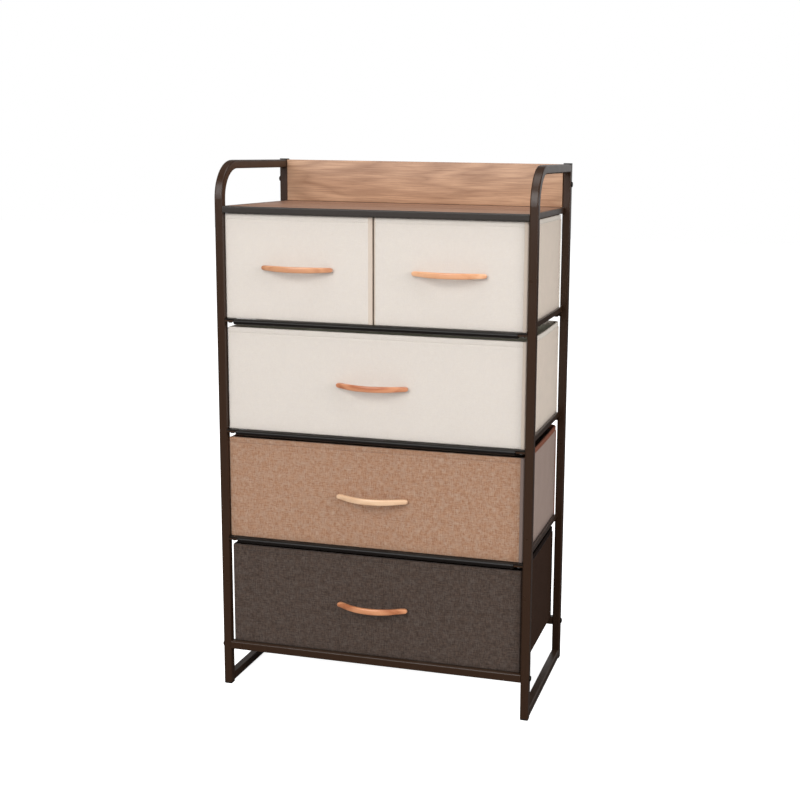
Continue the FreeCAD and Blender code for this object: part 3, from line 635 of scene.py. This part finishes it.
# a front: linen over the board, and the wrap, which is the bin's own fabric behind the linen, with a strip
# further forward at each end that the linen leaves bare
SEAM_DROP = 9.5 * MM         # hem seam, below the top edge
SEAM_BACK = 0.62 * MM        # its stitches, behind the face
ROW = 14 * MM                # distance between the rows of vertices
LINEN_CORNER, LINEN_RIM = 2.0 * MM, 2.2 * MM   # radius of the linen's corners and of its rim
FACE_DEEP = 1.5 * MM         # what lies further back than this doesn't wave
WAVE_REST, WAVE_SWING = 0.25 * MM, 0.35 * MM   # how far the linen lies back, and how much that changes
WAVES = (11, 13)             # how often in a metre, along X and up
RIM_BACK = 0.35 * MM         # how far it lies back along its edges
CALM_RIM = 16 * MM           # width along the edges in which the wave dies out
GROOVE, GROOVE_HALF = 0.55 * MM, 1.2 * MM      # depth of the seam and half its width
PUCKER, PUCKER_HALF = 0.15 * MM, 5 * MM        # the same for the puckers beside it
PUCKERS = 120                # how many of them in a metre
WRAP_BACK, WRAP_LESS, WRAP_TURN = 3.0 * MM, 0.3 * MM, 1.6 * MM     # behind the face, smaller, rounded by
STRIP_BACK, STRIP_LESS, STRIP_TURN = 0.6 * MM, 0.5 * MM, 2.8 * MM  # the same for a strip
STRIP_LAP, STRIP_LEAST = 4 * MM, 1 * MM        # how far it goes under the linen, and the least gap it fills

# bin fabric, front fabric, and how far the linen and the cloth behind it pass the left and right ends
# of the front board's cover, in millimetres
DRAWERS = {
    "top_left": ("cream_fabric", "cream_linen", (1.6, -5.2), (1.1, 0.9)),
    "top_right": ("cream_fabric", "cream_linen", (-1.4, -6.1), (1.1, 0.0)),
    "upper": ("cream_fabric", "cream_linen", (0.3, -5.6), (-0.3, 0.0)),
    "middle": ("taupe_fabric", "brown_linen", (1.4, -5.6), (0.9, 0.0)),
    "lower": ("dark_fabric", "dark_linen", (0.0, 0.2), (-0.5, 2.4)),
}


class Drawer:
    """One drawer: its fabrics, the measures of its bin and its front, and how the bin's skin hangs."""

    def __init__(self, name, fabric, linen_slot, linen_ends, wrap_ends):
        self.name, self.body = name, name + "_drawer"
        self.fabric, self.linen_slot = fabric, linen_slot
        self.low, self.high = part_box(name + "_bin")
        self.front_low, self.front_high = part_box(name + "_front_cover")
        self.linen_left = self.front_low.x - linen_ends[0] * MM
        self.linen_right = self.front_high.x + linen_ends[1] * MM
        self.wrap_left = self.front_low.x - wrap_ends[0] * MM
        self.wrap_right = self.front_high.x + wrap_ends[1] * MM
        self.seam = self.front_high.z - SEAM_DROP
        self.seed = sum(map(ord, name)) * 0.37
        self.sag = 0.0 if name.startswith("top_") else SAG

    def top(self, y):
        """Height of the side wall's top edge at y."""
        front, rear = self.low.y + SAG_INSET, self.high.y - SAG_INSET
        half = (rear - front) / 2
        off = y - (front + rear) / 2
        if not self.sag or abs(off) >= half:
            return self.high.z
        radius = (half ** 2 + self.sag ** 2) / (2 * self.sag)
        return self.high.z - self.sag + radius - math.sqrt(radius ** 2 - off ** 2)

    def hang(self, co):
        """A point of the straight box, moved to where the cloth hangs."""
        x, y, z = co
        low, high = self.low, self.high
        up = (z - low.z) / (high.z - low.z)
        beside = min(x - low.x, high.x - x)
        if beside < CORNER and up > SAG_FROM:
            share = (up - SAG_FROM) / (1 - SAG_FROM) * (1 - beside / CORNER)
            z -= (high.z - self.top(y)) * share
        belly = BELLY * math.sin(math.pi * clamped(up)) ** 0.7
        spot = Vector((x * RIPPLES[0], y * RIPPLES[0], z * RIPPLES[1])) + Vector((self.seed, 0, 0))
        ripple = noise.noise(spot) * RIPPLE * min(1, up * 4)
        along_y = math.sin(math.pi * clamped((y - low.y) / (high.y - CORNER - low.y)))
        along_x = math.sin(math.pi * clamped((x - low.x - CORNER) / (high.x - low.x - 2 * CORNER)))
        if x < low.x + ON_WALL:
            x -= (belly + ripple) * along_y
        elif x > high.x - ON_WALL:
            x += (belly + ripple) * along_y
        elif y > high.y - ON_WALL:
            y += (belly * REAR_BELLY + ripple) * along_x
        return Vector((x, y, z))


def outline(bm, low, high, grow=0.0):
    """Flat face with rounded rear corners, at the bottom of a bin, its long edges cut into short ones."""
    grid = bmesh.ops.create_grid(bm, x_segments=1, y_segments=1, size=0.5)
    for v in grid["verts"]:
        v.co.x = (high.x + grow) if v.co.x > 0 else (low.x - grow)
        v.co.y = (high.y + grow) if v.co.y > 0 else low.y
        v.co.z = low.z
    rear = [v for v in bm.verts if v.co.y > high.y - ON_WALL]
    bevel(bm, rear, CORNER + grow, 6, "VERTICES")
    for edge in [e for e in bm.edges if e.calc_length() > 20 * MM]:
        bmesh.ops.subdivide_edges(bm, edges=[edge], cuts=max(1, round(edge.calc_length() / STEP)))


def make_bin(drawer):
    """Skin of the bin: floor, front, sides and rear, thickened inwards."""
    name, low, high = drawer.name, drawer.low, drawer.high
    bm = bmesh.new()
    outline(bm, low, high)
    height = high.z - low.z - 0.4 * MM       # the binding covers the rest
    raise_rim(bm, [e for e in bm.edges if e.is_boundary], [low.z + height * row for row in ROWS])
    bmesh.ops.recalc_face_normals(bm, faces=bm.faces[:])
    bm.normal_update()
    for v in bm.verts:
        if v.co.z > low.z + SAME:
            v.co = drawer.hang(v.co)
    cloth_map(bm)
    made = piece(bm, name + "_fabric_bin", drawer.body,
                 [FELTS[drawer.fabric], LININGS[drawer.fabric]], [name + "_bin"], sharp=50)
    thicken(made, WALL, lining=1)
    round_off(made, 0.7 * MM, 2)


def make_binding(drawer):
    """Folded tape over the top edge of the sides and the rear."""
    low, high = drawer.low, drawer.high
    bm = bmesh.new()
    outline(bm, low, high, PROUD)
    bmesh.ops.delete(bm, geom=bm.faces[:], context="FACES_ONLY")
    front = [e for e in bm.edges if all(v.co.y < low.y + SAME for v in e.verts)]
    bmesh.ops.delete(bm, geom=front, context="EDGES")
    loose = [v for v in bm.verts if not v.link_edges]
    bmesh.ops.delete(bm, geom=loose, context="VERTS")
    top = high.z - 0.25 * MM
    lift(bm.verts, top - HEM)
    raise_rim(bm, bm.edges[:], (top - HEM * 0.5, top))
    bmesh.ops.recalc_face_normals(bm, faces=bm.faces[:])
    middle = (low + high) / 2
    inwards = [f for f in bm.faces if f.normal.dot(f.calc_center_median() - middle) < 0]
    if len(inwards) > len(bm.faces) / 2:
        bmesh.ops.reverse_faces(bm, faces=bm.faces[:])
    for v in bm.verts:
        straight = v.co.copy()
        inner = Vector((min(max(straight.x, low.x), high.x), min(straight.y, high.y), straight.z))
        v.co = drawer.hang(inner) + (straight - inner)
    cloth_map(bm)
    made = piece(bm, drawer.name + "_top_binding", drawer.body, [BINDINGS[drawer.fabric]], sharp=50)
    thicken(made, WALL + 2 * PROUD)
    round_off(made, 0.9 * MM, 3)


def make_welts(drawer):
    """Corded welt down each rear corner of a bin."""
    low, high = drawer.low, drawer.high
    bm = bmesh.new()
    for x in (low.x, high.x):
        ring = bmesh.ops.create_circle(bm, cap_ends=True, segments=10, radius=WELT)["verts"]
        bmesh.ops.translate(bm, verts=ring, vec=Vector((x, high.y - CORNER + WELT, low.z + WELT)))
        face = [f for f in bm.faces if all(v in ring for v in f.verts)]
        for z in spaced(low.z, high.z, WELT_STEP) + [high.z - HEM]:
            grown = bmesh.ops.extrude_face_region(bm, geom=face)["geom"]
            lift(grown, z)
            bmesh.ops.delete(bm, geom=[f for f in face if f.is_valid], context="FACES_ONLY")
            face = [f for f in grown if isinstance(f, bmesh.types.BMFace)]
    for v in bm.verts:
        v.co.x += noise.noise(Vector((v.co.x * 3, 0, v.co.z * 25))) * WELT_SWING
    bmesh.ops.recalc_face_normals(bm, faces=bm.faces[:])
    cloth_map(bm)
    piece(bm, drawer.name + "_corner_welts", drawer.body, [BINDINGS[drawer.fabric]], sharp=60)


def stitch_row(bm, points, outwards):
    """Short stitches laid end to end along a line of points."""
    travelled = 0.0
    for a, b in zip(points, points[1:]):
        run = (b - a).length
        along = (b - a).normalized()
        side = along.cross(outwards).normalized()
        turn = Matrix((along, side, outwards)).transposed().to_4x4()
        while travelled < run:
            centre = Matrix.Translation(a.lerp(b, travelled / run))
            place = centre @ turn @ Matrix.Diagonal((STITCH, STITCH_WIDE, STITCH_HIGH, 1))
            bmesh.ops.create_icosphere(bm, subdivisions=1, radius=0.5, matrix=place)
            travelled += STITCH + STITCH_GAP
        travelled -= run


def make_side_stitches(drawer):
    """Stitches that hold the binding, along both sides and the rear."""
    low, high = drawer.low, drawer.high
    z = high.z - (HEM - STITCH_UP)

    def on_cloth(x, y, outwards):
        return drawer.hang(Vector((x, y, z))) + outwards * STITCH_OUT

    bm = bmesh.new()
    for x, outwards in ((low.x, Vector((-1, 0, 0))), (high.x, Vector((1, 0, 0)))):
        places = [low.y + 4 * MM] + spaced(low.y, high.y - CORNER, STEP)
        stitch_row(bm, [on_cloth(x, y, outwards) for y in places], outwards)
    outwards = Vector((0, 1, 0))
    places = spaced(low.x + CORNER, high.x - CORNER, STEP)
    stitch_row(bm, [on_cloth(x, high.y, outwards) for x in places], outwards)
    piece(bm, drawer.name + "_binding_stitches", drawer.body, [THREADS[drawer.linen_slot]])


def make_edge_wrap(drawer):
    """The bin's own fabric turned round the edges of the front board, which shows beside the linen, in a darker
    copy as painted shade.
    """
    low, high, back = drawer.front_low, drawer.front_high, drawer.front_high.y
    left, right = drawer.linen_left, drawer.linen_right
    bm = bmesh.new()
    box_mesh(bm, (drawer.wrap_left, low.y + WRAP_BACK, low.z + WRAP_LESS),
             (drawer.wrap_right, back, high.z - WRAP_LESS))
    for bare, start, end in ((left - low.x, low.x + WRAP_LESS, left + STRIP_LAP),
                             (high.x - right, right - STRIP_LAP, drawer.wrap_right)):
        if bare > STRIP_LEAST:
            box_mesh(bm, (start, low.y + STRIP_BACK, low.z + STRIP_LESS), (end, back, high.z - STRIP_LESS))
    upright = [e for e in bm.edges if runs_along(e, 2) and e.verts[0].co.y < back - SAME]
    of_strips = [e for e in upright if e.verts[0].co.y < low.y + (STRIP_BACK + WRAP_BACK) / 2]
    of_wrap = [e for e in upright if e not in of_strips]
    bevel(bm, of_wrap, WRAP_TURN, 5)
    bevel(bm, of_strips, STRIP_TURN, 5)
    cloth_map(bm)
    piece(bm, drawer.name + "_edge_wrap", drawer.body, [EDGES[drawer.fabric]], sharp=50)


def make_linen(drawer):
    """Linen drawn over the front board: rounded rim, a slight wave and a hem seam along the top."""
    low, high, seam = drawer.front_low, drawer.front_high, drawer.seam
    left, right = drawer.linen_left, drawer.linen_right
    bm = bmesh.new()
    box_mesh(bm, (left, low.y, low.z), (right, high.y - 0.4 * MM, high.z))
    bevel(bm, [e for e in bm.edges if runs_along(e, 1)], LINEN_CORNER, 4)
    bevel(bm, [e for e in bm.edges if all(v.co.y < low.y + SAME for v in e.verts)], LINEN_RIM, 5)
    slice_mesh(bm, 0, spaced(left, right, ROW))
    slice_mesh(bm, 2, spaced(low.z, seam - 6 * MM, ROW))
    slice_mesh(bm, 2, [seam - PUCKER_HALF, seam - GROOVE_HALF, seam - 0.5 * MM, seam, seam + 0.5 * MM,
                       seam + GROOVE_HALF, high.z - 4.5 * MM])
    for v in bm.verts:
        if v.co.y > low.y + FACE_DEEP:
            continue
        x, z = v.co.x, v.co.z
        calm = clamped(min(x - left, right - x, z - low.z, high.z - z) / CALM_RIM)
        wave = noise.noise(Vector((x * WAVES[0] + drawer.seed, 0, z * WAVES[1])))
        v.co.y += (WAVE_REST + WAVE_SWING * wave) * calm + RIM_BACK * (1 - calm) ** 2
        off_seam = abs(z - seam)
        pucker = noise.noise(Vector((x * PUCKERS, drawer.seed, 5))) * PUCKER
        v.co.y += GROOVE * max(0.0, 1 - off_seam / GROOVE_HALF) + pucker * max(0.0, 1 - off_seam / PUCKER_HALF)
    cloth_map(bm)
    piece(bm, drawer.name + "_linen_front", drawer.body, [LINENS[drawer.linen_slot]],
          [drawer.name + "_front_cover"], sharp=60)


def make_hem_stitches(drawer):
    """Stitches in the hem seam of a front."""
    y = drawer.front_low.y + SEAM_BACK
    ends = drawer.linen_left + 5 * MM, drawer.linen_right - 4 * MM
    bm = bmesh.new()
    stitch_row(bm, [Vector((x, y, drawer.seam)) for x in ends], Vector((0, -1, 0)))
    piece(bm, drawer.name + "_hem_stitches", drawer.body, [THREADS[drawer.linen_slot]])


# a handle; places along it are shares of its half length, from the middle
BOW_REACH = 0.92             # where its bow meets the drawer
BOW_THICK, FOOT_MORE = 7.8 * MM, 2.6 * MM      # front to back in the middle, and how much more at the feet
FOOT_TALL, MIDDLE_MORE = 9.2 * MM, 2.0 * MM    # height at the feet, and how much more in the middle
FOOT_OUT = 9.5 * MM          # how far the feet stand out from the front
FEET_FROM, FEET_OVER = 0.5, 0.35     # where it grows thicker towards the feet, and over how long
TALL_OVER = 0.65             # over how long it grows lower towards the tips
TIP_FROM, TIP_LONG = 0.91, 0.09      # where the rounding of the tips starts, and its length
TIP_LEFT = 0.25              # share of the section that is left at the very tip
SECTION = (-0.45, 0.45)      # rows that the square section is rounded by
ROUNDNESS = 0.62             # from 0, square, to 1, round


def make_handle(drawer):
    """Bow handle: a rounded bar that swells in the middle and tapers to flat feet."""
    name = drawer.name
    low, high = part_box(name + "_handle")
    middle_x, middle_z = (low.x + high.x) / 2, (low.z + high.z) / 2
    half, out = (high.x - low.x) / 2, high.y - low.y
    bm = bmesh.new()
    box_mesh(bm, (-1, -1, -1), (1, 1, 1))
    slice_mesh(bm, 0, spaced(-1, 1, 0.06) + [-0.997, -0.985, -0.96, 0.96, 0.985, 0.997])
    slice_mesh(bm, 1, SECTION)
    slice_mesh(bm, 2, SECTION)
    for v in bm.verts:
        s = v.co.x
        reach = abs(s)                                                  # 0 in the middle, 1 at the tips
        bow = max(0.0, 1 - (reach / BOW_REACH) ** 2) ** 1.1             # 1 in the middle, 0 at the feet
        thick = BOW_THICK + FOOT_MORE * smooth((reach - FEET_FROM) / FEET_OVER)
        tall = (FOOT_TALL + MIDDLE_MORE * smooth((1.0 - reach) / TALL_OVER)) / 2
        tip = TIP_LEFT + (1 - TIP_LEFT) * math.sqrt(max(0.0, 1 - max(0.0, (reach - TIP_FROM) / TIP_LONG) ** 2))
        front = FOOT_OUT + (out - FOOT_OUT) * bow
        back = max(front - thick, 0.0)
        shape = Vector((v.co.y, v.co.z))
        cross = max(abs(shape.x), abs(shape.y))
        if cross > 1e-6:                                                # rounds the square section
            shape = shape * (cross / shape.length) * (ROUNDNESS + (1 - ROUNDNESS) * shape.length / cross)
        y_middle, y_half = (front + back) / 2, (front - back) / 2
        v.co = Vector((middle_x + s * half,
                       high.y - (y_middle - shape.x * y_half * tip),
                       middle_z + shape.y * tall * tip))
    bmesh.ops.recalc_face_normals(bm, faces=bm.faces[:])
    made = piece(bm, name + "_bow_handle", drawer.body, [HANDLE_WOODS[name]], [name + "_handle"])
    soft = made.modifiers.new("smooth", "SUBSURF")
    soft.levels = soft.render_levels = 2


# ---------------------------------------------------------------- boards
def make_board(name, node, material, edge):
    """A board with rounded edges."""
    low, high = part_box(node)
    bm = bmesh.new()
    box_mesh(bm, low, high)
    bevel(bm, bm.edges[:], edge, 3)
    slice_mesh(bm, 0, spaced(low.x, high.x, 60 * MM))
    piece(bm, name, "frame", [material], [node], sharp=50)


# ---------------------------------------------------------------- the rest of the dresser
# Finish of the nodes by the end of their names; the first that fits counts, and what is left is painted.
CAD_FINISH = (
    ("_handle_screws", ZINC), ("rail_screws", ZINC), ("tabletop_screws", ZINC), ("rail_inserts", ZINC),
    ("bottom_rail_bolts", DARK_STEEL), ("backboard_bolts", DARK_STEEL),
    ("rear_post_caps", PLASTIC), ("foot_glides", PLASTIC),
    ("_front_board", BOARD), ("_base_board", BOARD), ("tabletop", TOP_WOOD), ("backboard", BACK_WOOD),
    # the top rail and the middle rails get the lit and shaded copies of the espresso paint
    ("_top_rail", REFLECTION_LIT_TOP_RAIL_PAINT), ("_bottom_rail", PAINT), ("_rail", SHADE_DARKENED_RAIL_PAINT), ("", PAINT),
)


def dress_cad():
    """Gives every CAD node its finish."""
    for name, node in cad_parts.items():
        material = next(finish for ending, finish in CAD_FINISH if name.endswith(ending))
        if not node.material_slots:
            node.data.materials.append(material)
        for slot in node.material_slots:
            slot.material = material


# ---------------------------------------------------------------- studio
AIM = Vector((0, 0, 0.5))
LIGHTS = (                   # name, place, size in metres, watts
    ("front softbox", (-0.8, -3.3, 2.3), (2.8, 2.2), 97),
    ("top softbox", (0.2, -0.4, 3.2), (2.0, 1.6), 26),
    ("right fill", (3.0, -1.4, 1.5), (1.2, 1.6), 44),
    ("rear sweep", (0.5, 3.6, 1.7), (5.5, 2.2), 20),
)
SURROUND, LESS_IN_SHINE = 0.36, 0.27     # light from all round, and how much less of it a shiny face mirrors
FLOOR_HALF = 12


def make_surround():
    """White all round, which lights the dresser less than it shows."""
    world = bpy.data.worlds.new("studio")
    bpy.context.scene.world = world
    world.use_nodes = True
    tree = world.node_tree
    path = tree.nodes.new("ShaderNodeLightPath").outputs
    seen = path["Is Camera Ray"]
    dim = calc(tree, "SUBTRACT", SURROUND, calc(tree, "MULTIPLY", path["Is Glossy Ray"], LESS_IN_SHINE))
    level = calc(tree, "ADD", seen, calc(tree, "MULTIPLY", calc(tree, "SUBTRACT", 1.0, seen), dim))
    back = tree.nodes["Background"]
    tree.links.new(level, back.inputs["Strength"])
    back.inputs["Color"].default_value = grey(1)


def make_floor():
    """Pale floor, darker for the light that it throws back and for what shiny faces mirror."""
    bm = bmesh.new()
    bmesh.ops.create_grid(bm, x_segments=1, y_segments=1, size=FLOOR_HALF)
    mesh = mesh_of(bm, "floor")
    floor = put("floor", mesh)
    material, tree, shader, _ = new_material("pale floor", Roughness=0.9, Specular_IOR_Level=0.0,
                                             Emission_Color=grey(1))
    path = tree.nodes.new("ShaderNodeLightPath").outputs
    colour = blend(tree, path["Is Diffuse Ray"], grey(0.9), grey(0.5))
    feed(tree, shader, "Base Color", blend(tree, path["Is Glossy Ray"], colour, grey(0.12)))
    feed(tree, shader, "Emission Strength", calc(tree, "MULTIPLY", path["Is Camera Ray"], 0.9))
    mesh.materials.append(material)


def make_lights():
    """Soft lights that all look at the middle of the dresser."""
    for name, place, size, power in LIGHTS:
        data = bpy.data.lights.new(name, "AREA")
        data.shape, data.size, data.size_y, data.energy = "RECTANGLE", size[0], size[1], power
        lamp = put(name, data)
        lamp.location = place
        lamp.visible_camera = False
        lamp.rotation_euler = (AIM - Vector(place)).to_track_quat("-Z", "Y").to_euler()
    bpy.context.scene.view_settings.view_transform = "Standard"


# ---------------------------------------------------------------- all together
make_camera()
make_surround()
make_floor()
make_lights()
dress_cad()
make_board("tabletop_board", "tabletop", TOP_WOOD, 0.6 * MM)
make_board("back_rail_board", "backboard", BACK_WOOD, 1.0 * MM)
for drawer_name, cloth_and_ends in DRAWERS.items():
    drawer = Drawer(drawer_name, *cloth_and_ends)
    for make in (make_bin, make_binding, make_welts, make_side_stitches, make_edge_wrap, make_linen,
                 make_hem_stitches, make_handle):
        make(drawer)
